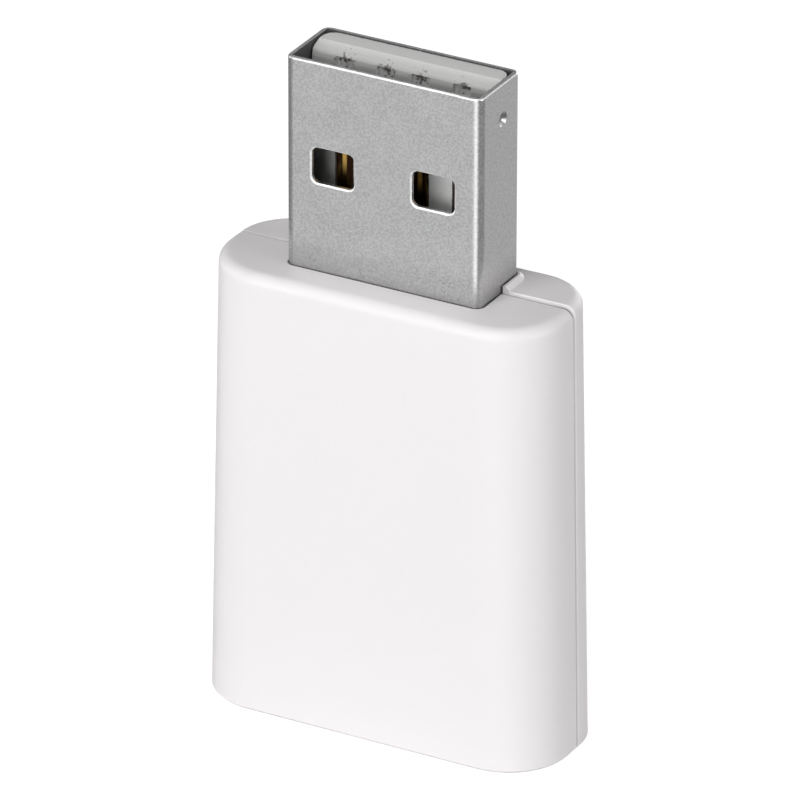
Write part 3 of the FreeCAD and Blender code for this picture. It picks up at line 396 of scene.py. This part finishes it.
def plug_steel_material():
    """Bright mottled plating, rougher inside, with painted shade inside, in the dimples and at its
    root.

    The bevelled edges of the front windows are rough, with a painted highlight on them.
    """
    material, tree, shader, place, surface = new_material("plated_steel", PLATED_GRAIN)
    across, deep, height = axes_of(tree, place)
    low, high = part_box("plug_insulator")
    inside = place_group(tree, tube_inside, {
        "Place": place, "Half Width": high[0] + INSIDE_PLAY,
        "Middle Depth": (low[1] + high[1]) / 2, "Half Depth": (high[1] - low[1]) / 2 + INSIDE_PLAY})
    dents = place_group(tree, round_spot, {
        "Place": place, "Middle Depth": DIMPLE_DEPTH, "Middle Height": DIMPLE_HEIGHT,
        "Radius": DIMPLE_RADIUS})
    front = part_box("plug_shell")[0][1]
    sunk = calculate(tree, "GREATER_THAN", deep, front + BEVEL_DEPTHS[0])
    shallow = calculate(tree, "LESS_THAN", deep, front + BEVEL_DEPTHS[1])
    among = calculate(tree, "LESS_THAN", calculate(tree, "ABSOLUTE", across), WINDOWS_HALF)
    window_bevel = all_of(tree, sunk, shallow, among)
    # Painted shade towards the plug's root
    root_shade = opposite_of(tree, step_between(tree, height, *ROOT_HEIGHTS))
    # Painted shade inside the tube
    colour = blend_colours(tree, inside.outputs["Mask"], PLATED_STEEL, INSIDE_SHADE_STEEL)
    # Painted shade in the dimples
    dimple_shaded = blend_colours(tree, dents.outputs["Mask"], colour, DIMPLE_SHADE_STEEL)
    # Painted highlight on the windows' bevelled edges
    highlighted = blend_colours(tree, window_bevel, dimple_shaded, EDGE_HIGHLIGHT_STEEL)
    root_shaded = blend_colours(tree, root_shade, highlighted, ROOT_SHADE_STEEL)
    colour_shader(tree, shader, surface, root_shaded, PLATED_TONE)
    dull = calculate(tree, "MAXIMUM", inside.outputs["Mask"], window_bevel)
    roughness = calculate(tree, "ADD", calculate(tree, "MULTIPLY", dull, DULL_ROUGHNESS),
                          surface.outputs["Roughness"])
    tree.links.new(roughness, shader.inputs["Roughness"])
    shader.inputs["Metallic"].default_value = 1.0
    return material


# Tongue of the plug: its colours, and heights measured down from its tip
CONTACTS = ("contact_power", "contact_data_minus", "contact_data_plus", "contact_ground")
TONGUE_TONE = 0.03
PALE_PLASTIC = (0.8, 0.8, 0.79, 1.0)
# Painted shade down the nose and below it, towards the plug's mouth
NOSE_SHADE_PLASTIC = (0.6, 0.6, 0.59, 1.0)
MOUTH_SHADE_PLASTIC = (0.5, 0.5, 0.49, 1.0)
# Painted shade at the left and painted light at the right of the deep tongue
DEEP_LEFT_SHADE_PLASTIC = (0.46, 0.46, 0.45, 1.0)
DEEP_RIGHT_LIT_PLASTIC = (0.86, 0.86, 0.85, 1.0)
# Painted light on the slots' floors, against the shade of their recess
SLOT_LIT_PLASTIC = (0.78, 0.78, 0.77, 1.0)
# Dark speckles around the slots' ends
DARK_SPECKLE = (0.1, 0.09, 0.08, 1.0)
DARK_SPECKLE_SHARE = 0.85
DARK_SPECKLE_BELOW_TIP = 0.66 * MM
DARK_SPECKLE_SPOT = {"Half Width": 0.6 * MM, "Half Height": 0.5 * MM, "Speckle Size": 0.19 * MM}
UNSHADED_BELOW_TIP = (0.35 * MM, -0.03 * MM)
NOSE_BELOW_TIP = (0.77 * MM, 0.67 * MM)
MOUTH_BELOW_TIP = (3.0 * MM, 2.0 * MM)
SLOT_BELOW_TIP = (1.3 * MM, 0.47 * MM)
SLOT_MOUTH_DEPTH = 0.42 * MM
SLOT_SIDE_PLAY = 0.07 * MM
DEEP_ACROSS = (-2.0 * MM, 1.0 * MM)


def tongue_material():
    """Pale moulding with painted shade down its nose, and dark speckles around the slots' ends.

    Deep in the plug, where only the windows show it, it has painted shade at the left and painted
    light at the right. The slots' floors have painted light, a little paler than the nose beside
    them.
    """
    material, tree, shader, place, surface = new_material("moulded_pale", MOULDED_GRAIN)
    across, deep, height = axes_of(tree, place)
    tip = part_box("plug_insulator")[1][2]
    unshaded, on_nose, near_mouth = [
        step_between(tree, height, tip - below, tip - above)
        for below, above in (UNSHADED_BELOW_TIP, NOSE_BELOW_TIP, MOUTH_BELOW_TIP)]
    to_right = step_between(tree, across, *DEEP_ACROSS)
    dark_speckles = 0.0
    slots = 0.0
    for strip in CONTACTS:
        low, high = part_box(strip)
        middle = (low[0] + high[0]) / 2
        spot = place_group(tree, dark_speckle_spot, {
            "Place": place, "Middle": middle, "Middle Height": tip - DARK_SPECKLE_BELOW_TIP, **DARK_SPECKLE_SPOT})
        dark_speckles = calculate(tree, "MAXIMUM", spot.outputs["Mask"], dark_speckles)
        aside = distance_between(tree, across, middle)
        within = calculate(tree, "LESS_THAN", aside, (high[0] - low[0]) / 2 + SLOT_SIDE_PLAY)
        slots = calculate(tree, "MAXIMUM", within, slots)
    slot_low, slot_high = [tip - below for below in SLOT_BELOW_TIP]
    in_slot = all_of(tree, slots, calculate(tree, "GREATER_THAN", deep, SLOT_MOUTH_DEPTH),
                     calculate(tree, "LESS_THAN", height, slot_high),
                     calculate(tree, "GREATER_THAN", height, slot_low))
    # Painted shade that grows down the nose from the pale tip
    nose = blend_colours(tree, on_nose, MOUTH_SHADE_PLASTIC, NOSE_SHADE_PLASTIC)
    mouth = blend_colours(tree, unshaded, nose, PALE_PLASTIC)
    # Painted shade at the left and painted light at the right, deep in the plug
    deep_light_and_shade = blend_colours(tree, to_right, DEEP_LEFT_SHADE_PLASTIC, DEEP_RIGHT_LIT_PLASTIC)
    colour = blend_colours(tree, near_mouth, deep_light_and_shade, mouth)
    # Painted light on the slots' floors
    slot_lit = blend_colours(tree, in_slot, colour, SLOT_LIT_PLASTIC)
    share = calculate(tree, "MULTIPLY", dark_speckles, DARK_SPECKLE_SHARE)
    dark_speckled = blend_colours(tree, share, slot_lit, DARK_SPECKLE)
    colour_shader(tree, shader, surface, dark_speckled, TONGUE_TONE)
    return material


# Contacts: their colours, with painted shade and the painted glint that the plug's windows show
GOLD_TONE = 0.05
CONTACT_GOLD = (1.0, 0.66, 0.2, 1.0)
# Painted shade: the dark that the gold shows inside the plug
SHADED_GOLD = (0.05, 0.022, 0.012, 1.0)
# Painted glint along the middle of each contact, where the windows show it
GLINT_HALVES = (0.072 * MM, 0.18 * MM)
GLINT_HEIGHTS = (31.3 * MM, 32.45 * MM)
FAINT_SHARE = 0.2
FAINT_STREAKS = {"Streak Width": 0.35 * MM, "Stretch": 0.2}


def contact_material(node_name):
    """Gilding darkened as painted shade, with a painted glint along its middle line towards the
    plug's mouth.
    """
    low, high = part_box(node_name)
    material, tree, shader, place, surface = new_material(f"finish_{node_name}", GOLD_GRAIN)
    across, _, height = axes_of(tree, place)
    away = distance_between(tree, across, (low[0] + high[0]) / 2)
    along_middle = opposite_of(tree, step_between(tree, away, *GLINT_HALVES))
    # Painted glint along the contact's middle line
    glint = all_of(tree, along_middle, step_between(tree, height, *GLINT_HEIGHTS))
    streaks = place_group(tree, long_streaks, {"Place": place, **FAINT_STREAKS})
    faint = calculate(tree, "MULTIPLY", streaks.outputs["Mask"], FAINT_SHARE)
    highlighted = calculate(tree, "ADD", glint, faint, clamp=True)
    colour = blend_colours(tree, highlighted, SHADED_GOLD, CONTACT_GOLD)
    colour_shader(tree, shader, surface, colour, GOLD_TONE)
    shader.inputs["Metallic"].default_value = 1.0
    return material


# Board and the small parts on it
CAN_TONE = 0.06
CHIP_TONE = 0.3
CERAMIC_TONE = 0.1
TIN = (0.62, 0.62, 0.6, 1.0)
CHIP_BLACK = (0.018, 0.018, 0.02, 1.0)
CAPACITOR_CERAMIC = (0.42, 0.3, 0.2, 1.0)
RESISTOR_CERAMIC = (0.05, 0.05, 0.055, 1.0)
COIL_CERAMIC = (0.16, 0.2, 0.24, 1.0)
ANTENNA_CERAMIC = (0.62, 0.6, 0.56, 1.0)
LARGE_CAP = 0.3 * MM
SMALL_CAP = 0.24 * MM
ANTENNA_CAP = 0.5 * MM
LACQUER = (0.012, 0.11, 0.045, 1.0)
LACQUERED_COPPER = (0.02, 0.19, 0.07, 1.0)
TRACK_SPACING = 1.1 * MM
TRACK_STEP = (0.05, 0.09)
TRACK_LIFT = 0.03 * MM
RING_SPACING = 2.3 * MM
RING_RADIUS = 0.09


def capped_material(node_name, colour, cap):
    """The finish of a small ceramic part: its body, and tinned caps at both ends."""
    low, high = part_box(node_name)
    material, tree, shader, place, surface = new_material(f"finish_{node_name}", CERAMIC_GRAIN)
    caps = place_group(tree, end_caps, {
        "Place": place, "Middle": (low[0] + high[0]) / 2, "Bare Half": (high[0] - low[0]) / 2 - cap})
    mixed = blend_colours(tree, caps.outputs["Mask"], colour, TIN)
    colour_shader(tree, shader, surface, mixed, CERAMIC_TONE)
    tree.links.new(caps.outputs["Mask"], shader.inputs["Metallic"])
    return material


def board_material():
    """Green lacquer over copper lines, with bare tinned rings."""
    material, tree, shader, place, surface = new_material("lacquered_board", CERAMIC_GRAIN)
    cells = add_node(tree, "ShaderNodeTexVoronoi", {"Vector": place, "Scale": 1 / TRACK_SPACING},
                     feature="DISTANCE_TO_EDGE", distance="EUCLIDEAN")
    line = opposite_of(tree, step_between(tree, cells.outputs["Distance"], *TRACK_STEP))
    dots = add_node(tree, "ShaderNodeTexVoronoi", {"Vector": place, "Scale": 1 / RING_SPACING})
    ring = calculate(tree, "LESS_THAN", dots.outputs["Distance"], RING_RADIUS)
    lacquer = blend_colours(tree, line, LACQUER, LACQUERED_COPPER)
    lift = add_node(tree, "ShaderNodeBump", {
        "Distance": TRACK_LIFT, "Height": line, "Normal": surface.outputs["Normal"]})
    tree.links.new(blend_colours(tree, ring, lacquer, TIN), shader.inputs["Base Color"])
    tree.links.new(ring, shader.inputs["Metallic"])
    tree.links.new(lift.outputs["Normal"], shader.inputs["Normal"])
    return material


# Finish of each piece
CAPPED_PARTS = {
    "input_capacitor": (CAPACITOR_CERAMIC, LARGE_CAP),
    "output_capacitor": (CAPACITOR_CERAMIC, LARGE_CAP),
    "data_resistor_minus": (RESISTOR_CERAMIC, SMALL_CAP),
    "data_resistor_plus": (RESISTOR_CERAMIC, SMALL_CAP),
    "load_capacitor_left": (CAPACITOR_CERAMIC, SMALL_CAP),
    "load_capacitor_right": (CAPACITOR_CERAMIC, SMALL_CAP),
    "matching_coil": (COIL_CERAMIC, SMALL_CAP),
    "matching_capacitor": (CAPACITOR_CERAMIC, SMALL_CAP),
    "antenna": (ANTENNA_CERAMIC, ANTENNA_CAP),
}

white_plastic = shell_plastic_material()
chip_black = plain_material("moulded_black", CHIP_BLACK, CHIP_GRAIN, CHIP_TONE)
can_metal = plain_material("tinned_can", TIN, PLATED_GRAIN, CAN_TONE, metallic=1.0)

finishes = {
    "front_housing": white_plastic,
    "rear_cover": white_plastic,
    "plug_shell": plug_steel_material(),
    "plug_insulator": tongue_material(),
    "circuit_board": board_material(),
    "voltage_regulator": chip_black,
    "surge_protector": chip_black,
    "radio_chip": chip_black,
    "amplifier_chip": chip_black,
    "crystal": can_metal,
    "shield_can": can_metal,
}
for contact_name in CONTACTS:
    finishes[contact_name] = contact_material(contact_name)
for part_name, (part_colour, part_cap) in CAPPED_PARTS.items():
    finishes[part_name] = capped_material(part_name, part_colour, part_cap)

for node_name, finish in finishes.items():
    for slot in nodes[node_name].material_slots:
        slot.material = finish


# Studio: a pale floor, soft lamps and an even surround
AMBIENT = 0.1
FLOOR_SIDE = 3.0
FLOOR_COLOUR = (0.85, 0.85, 0.85, 1.0)
FLOOR_SEEN_COLOUR = (0.3, 0.3, 0.3, 1.0)
FLOOR_SEEN_GLOW = 0.9


def seen_directly(tree):
    """1 for rays from the camera and for mirrored and refracted ones."""
    path = tree.nodes.new("ShaderNodeLightPath")
    total = calculate(tree, "ADD", path.outputs["Is Camera Ray"], path.outputs["Is Glossy Ray"])
    return calculate(tree, "ADD", total, path.outputs["Is Transmission Ray"], clamp=True)


def build_floor():
    """A plain white floor that keeps a faint shadow."""
    half = FLOOR_SIDE / 2
    mesh = bpy.data.meshes.new("floor")
    corners = [(-half, -half, 0), (half, -half, 0), (half, half, 0), (-half, half, 0)]
    mesh.from_pydata(corners, [], [(0, 1, 2, 3)])
    floor = bpy.data.objects.new("floor", mesh)
    bpy.context.scene.collection.objects.link(floor)
    material = bpy.data.materials.new("floor_paper")
    material.use_nodes = True
    tree = material.node_tree
    tree.nodes.clear()
    paper = add_node(tree, "ShaderNodeBsdfDiffuse", {"Color": FLOOR_COLOUR})
    seen_paper = add_node(tree, "ShaderNodeBsdfDiffuse", {"Color": FLOOR_SEEN_COLOUR})
    glow = add_node(tree, "ShaderNodeEmission", {"Strength": FLOOR_SEEN_GLOW})
    seen = add_node(tree, "ShaderNodeAddShader", {0: seen_paper.outputs[0], 1: glow.outputs[0]})
    mixed = add_node(tree, "ShaderNodeMixShader", {
        0: seen_directly(tree), 1: paper.outputs[0], 2: seen.outputs[0]})
    output = tree.nodes.new("ShaderNodeOutputMaterial")
    tree.links.new(mixed.outputs[0], output.inputs["Surface"])
    mesh.materials.append(material)
    floor.visible_glossy = False


# What polished metal mirrors: the brightness of the surround by its direction in degrees,
# 0 in front of the object and 90 at its right. The low ring lies under the horizon, the
# high ring above it, and the lid over both.
LOW_RING = [
    (-180, 0.64), (-150, 0.3), (-120, 0.29), (-65, 0.29), (-45, 0.45), (-25, 0.76), (-8, 0.86),
    (2, 1.6), (28, 1.6), (45, 0.4), (60, 0.31), (125, 0.31), (145, 0.62), (180, 0.64),
]
HIGH_RING = [
    (-180, 0.6), (-165, 0.3), (-60, 0.3), (-48, 1.3), (-22, 1.3), (-8, 0.8), (40, 0.8),
    (60, 0.45), (115, 0.45), (132, 1.1), (165, 1.1), (180, 0.6),
]
LID = 1.1
BRIGHTEST = 1.6
RING_STEP = (-0.05, 0.12)
LID_STEP = (0.57, 0.77)


def ring_of_light(tree, turn, levels):
    """The brightness around the object at the given turn, which runs from 0 to 1."""
    ramp = tree.nodes.new("ShaderNodeValToRGB")
    stops = ramp.color_ramp.elements
    for index, (degrees, level) in enumerate(levels):
        position = degrees / 360 + 0.5
        stop = stops[index] if index < len(stops) else stops.new(position)
        stop.position = position
        shade = level / BRIGHTEST
        stop.color = (shade, shade, shade, 1.0)
    tree.links.new(turn, ramp.inputs["Fac"])
    return calculate(tree, "MULTIPLY", ramp.outputs["Color"], BRIGHTEST)


def build_world():
    """An even ambient light, a white background, and a surround that metal mirrors."""
    world = bpy.data.worlds.new("studio")
    bpy.context.scene.world = world
    world.use_nodes = True
    tree = world.node_tree
    tree.nodes.clear()
    direction = tree.nodes.new("ShaderNodeTexCoord").outputs["Generated"]
    across, deep, height = axes_of(tree, direction)
    forward = calculate(tree, "MULTIPLY", deep, -1.0)
    angle = calculate(tree, "ARCTAN2", across, forward)
    turn = calculate(tree, "ADD", calculate(tree, "DIVIDE", angle, 2 * math.pi), 0.5)
    low_ring = ring_of_light(tree, turn, LOW_RING)
    high_ring = ring_of_light(tree, turn, HIGH_RING)
    rings = blend_levels(tree, step_between(tree, height, *RING_STEP), low_ring, high_ring)
    mirrored = blend_levels(tree, step_between(tree, height, *LID_STEP), rings, LID)
    path = tree.nodes.new("ShaderNodeLightPath")
    is_seen = calculate(tree, "ADD", path.outputs["Is Camera Ray"],
                        path.outputs["Is Transmission Ray"], clamp=True)
    not_scattered = calculate(tree, "LESS_THAN", path.outputs["Diffuse Depth"], 0.5)
    is_mirrored = all_of(tree, path.outputs["Is Glossy Ray"], not_scattered)
    unseen = blend_levels(tree, is_mirrored, AMBIENT, mirrored)
    strength = blend_levels(tree, is_seen, unseen, 1.0)
    background = add_node(tree, "ShaderNodeBackground", {"Strength": strength})
    output = tree.nodes.new("ShaderNodeOutputWorld")
    tree.links.new(background.outputs[0], output.inputs["Surface"])


# Lamps: the turn from the front to the right and the rise in degrees, the side in metres,
# and the part of plain white that the lamp lights a facing surface to
LAMPS = {
    "front_lamp": (3, 12, 0.3, 0.19),
    "front_left_lamp": (-20, 14, 0.3, 0.18),
    "left_lamp": (-75, 8, 0.5, 0.17),
    "right_lamp": (88, 14, 0.5, 0.295),
    "back_lamp": (178, 6, 0.5, 0.25),
    "top_lamp": (0, 55, 0.5, 0.3),
}
LAMP_DISTANCE = 0.8
LAMP_AIM = Vector((0.0, 0.0, 20 * MM))


def direction_of(turn, rise):
    """The direction towards a lamp."""
    level = math.cos(math.radians(rise))
    across = math.sin(math.radians(turn)) * level
    forward = -math.cos(math.radians(turn)) * level
    return Vector((across, forward, math.sin(math.radians(rise))))


def build_lamp(name, turn, rise, side, share):
    """A square soft lamp."""
    light = bpy.data.lights.new(name, "AREA")
    light.shape = "SQUARE"
    light.size = side
    light.energy = share * 4 * math.pi * LAMP_DISTANCE ** 2
    lamp = bpy.data.objects.new(name, light)
    way = direction_of(turn, rise)
    lamp.location = LAMP_AIM + way * LAMP_DISTANCE
    lamp.rotation_euler = way.to_track_quat("Z", "Y").to_euler()
    bpy.context.scene.collection.objects.link(lamp)


build_floor()
build_world()
for lamp_name, lamp_values in LAMPS.items():
    build_lamp(lamp_name, *lamp_values)


# Camera, solved from the plug's edges and windows in the photograph
FRAME_PIXELS = 800
SENSOR_WIDTH = 36.0
CAMERA_TURN = math.radians(28.823)
CAMERA_TILT = math.radians(26.327)
CAMERA_ROLL = math.radians(-0.134)
CAMERA_DISTANCE = 593.686 * MM
CAMERA_NEAR = 10 * MM
CAMERA_FAR = 10.0
PIXELS_PER_METRE = 18.4759 / MM
AIM_POINT = Vector((0.0, 0.4 * MM, 26.6 * MM))
AIM_PIXEL = (402.043, 270.649)


def build_camera():
    """A long lens at the photograph's viewing angle."""
    back = Vector((math.sin(CAMERA_TURN) * math.cos(CAMERA_TILT),
                   -math.cos(CAMERA_TURN) * math.cos(CAMERA_TILT),
                   math.sin(CAMERA_TILT)))
    right = Vector((math.cos(CAMERA_TURN), math.sin(CAMERA_TURN), 0.0))
    up = back.cross(right)
    half = FRAME_PIXELS / 2
    across = (AIM_PIXEL[0] - half) / PIXELS_PER_METRE
    rise = (half - AIM_PIXEL[1]) / PIXELS_PER_METRE
    place = AIM_POINT + back * CAMERA_DISTANCE - right * across - up * rise
    turned_right = right * math.cos(CAMERA_ROLL) - up * math.sin(CAMERA_ROLL)
    turned_up = right * math.sin(CAMERA_ROLL) + up * math.cos(CAMERA_ROLL)
    axes = Matrix((turned_right, turned_up, back)).transposed()
    lens = bpy.data.cameras.new("camera")
    lens.sensor_width = SENSOR_WIDTH
    lens.lens = PIXELS_PER_METRE * CAMERA_DISTANCE / FRAME_PIXELS * SENSOR_WIDTH
    lens.clip_start = CAMERA_NEAR
    lens.clip_end = CAMERA_FAR
    camera = bpy.data.objects.new("camera", lens)
    camera.matrix_world = Matrix.Translation(place) @ axes.to_4x4()
    bpy.context.scene.collection.objects.link(camera)
    bpy.context.scene.camera = camera


build_camera()
bpy.context.scene.view_settings.view_transform = "Standard"
